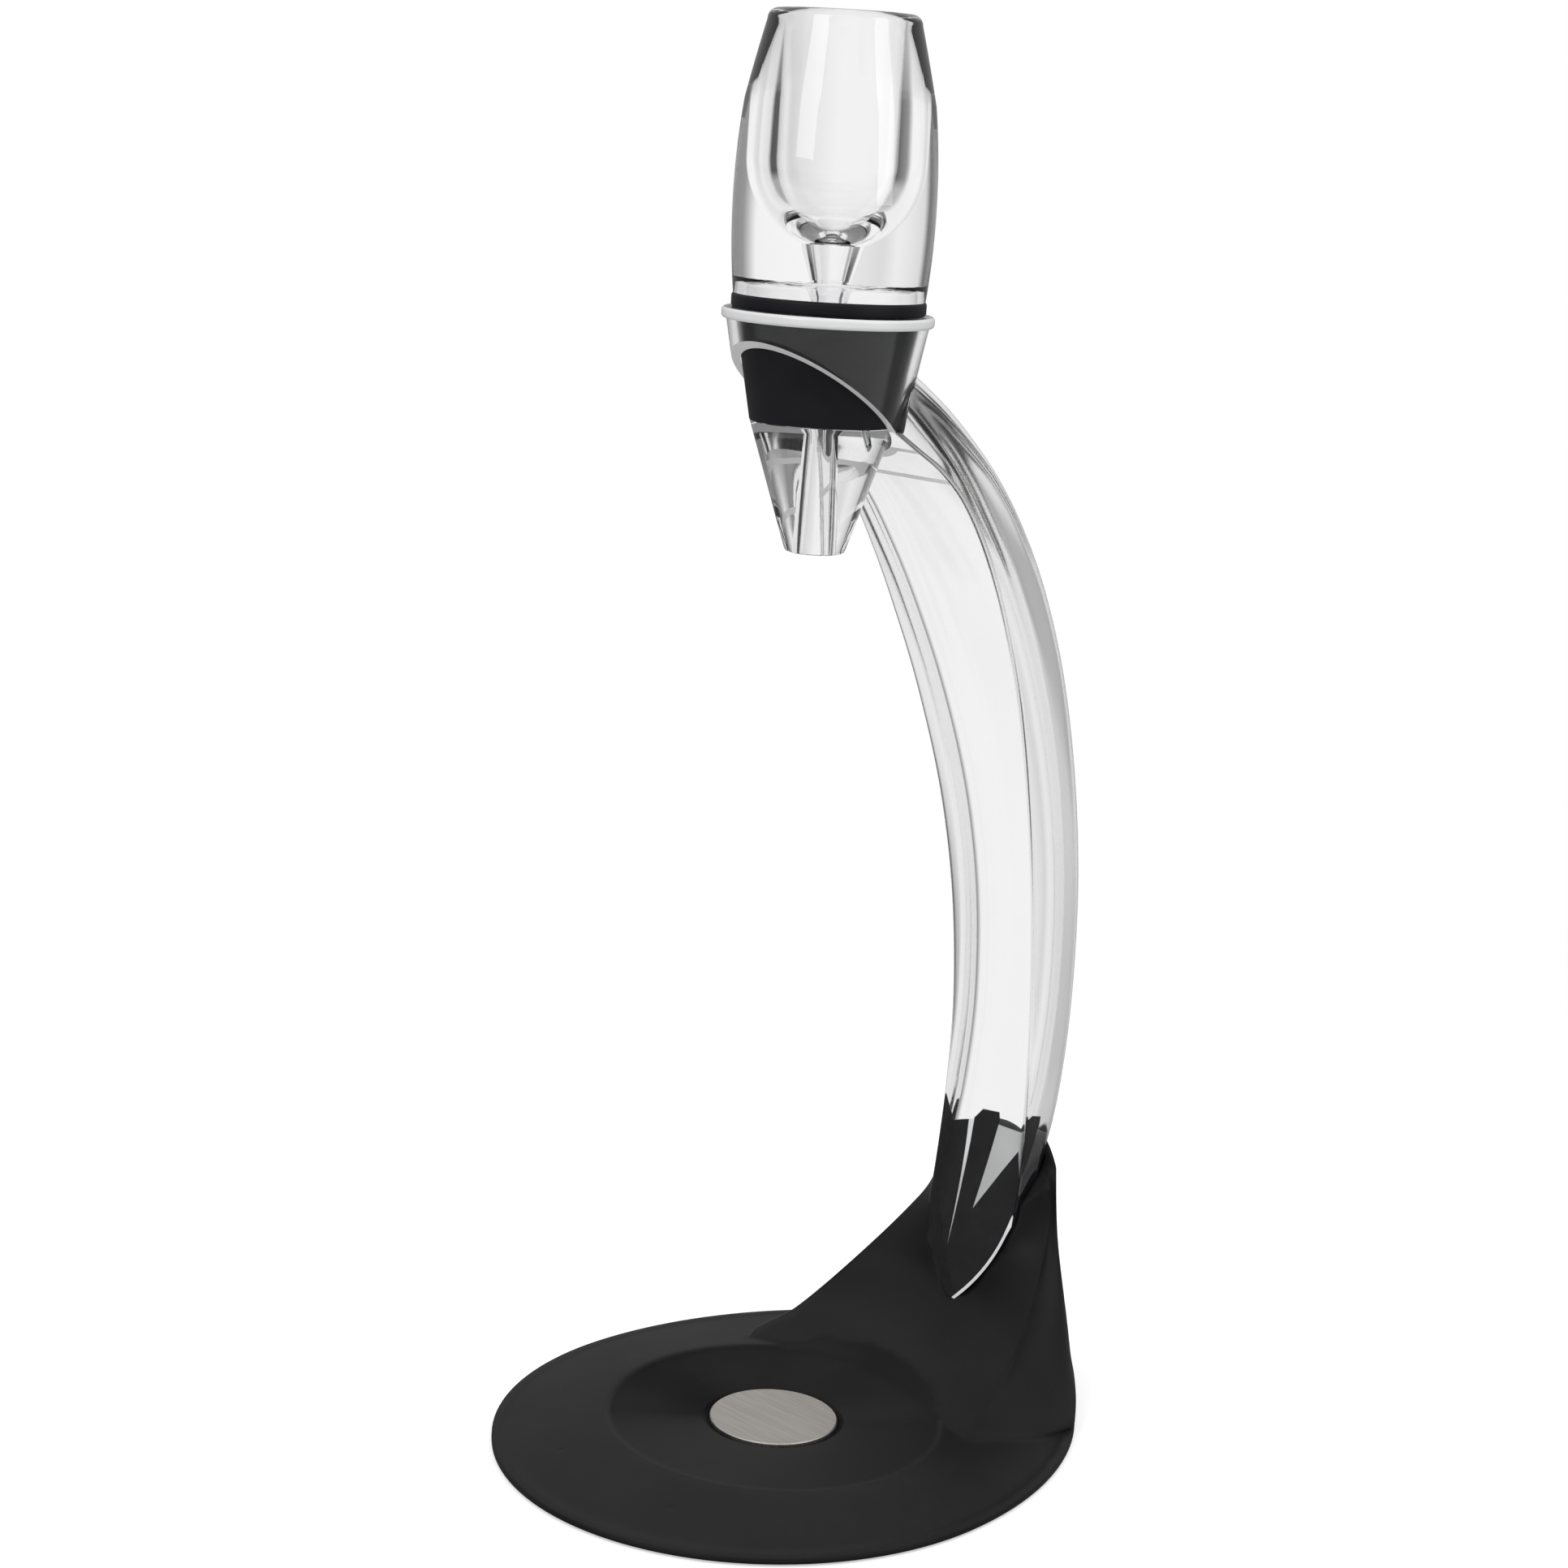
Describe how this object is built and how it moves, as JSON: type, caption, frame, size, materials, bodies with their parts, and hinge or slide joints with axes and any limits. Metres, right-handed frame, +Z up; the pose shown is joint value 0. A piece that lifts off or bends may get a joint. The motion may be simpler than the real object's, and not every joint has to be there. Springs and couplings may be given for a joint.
{
  "type": "wine aerator with stand",
  "caption": "Clear wine aerator with a black grip band, resting in the ring of a curved clear arm that rises from a flat black foot with a steel disc under the spout.",
  "frame": {"origin": "on the table, under the centre of the steel disc where the glass stands", "axes": "+Z up, +Y towards the arm and neck at the rear, +X to the right seen from the front"},
  "size_m": [0.166, 0.2039, 0.429],
  "materials": {
    "clear_acrylic": "clear moulded acrylic, polished",
    "black_silicone": "black silicone, satin",
    "seal_rubber": "translucent grey silicone",
    "black_plastic": "fine satin black moulding",
    "brushed_disc": "brushed stainless steel",
    "ballast_steel": "zinc-plated steel",
    "cover_plastic": "black moulding",
    "screw_steel": "zinc-plated steel",
    "pad_rubber": "matt rubber"
  },
  "bodies": {
    "root": {"aerator_bowl": "clear_acrylic", "grip_band": "black_silicone", "aerator_spout": "clear_acrylic", "bowl_seal": "seal_rubber", "stand_arm": "clear_acrylic", "base_shell": "black_plastic", "base_disc": "brushed_disc", "ballast_plate": "ballast_steel", "bottom_cover": "cover_plastic", "cover_screw_1": "screw_steel", "cover_screw_2": "screw_steel", "cover_screw_3": "screw_steel", "cover_screw_4": "screw_steel", "foot_pad_1": "pad_rubber", "foot_pad_2": "pad_rubber", "foot_pad_3": "pad_rubber", "foot_pad_4": "pad_rubber", "foot_pad_5": "pad_rubber"}
  },
  "joints": []
}
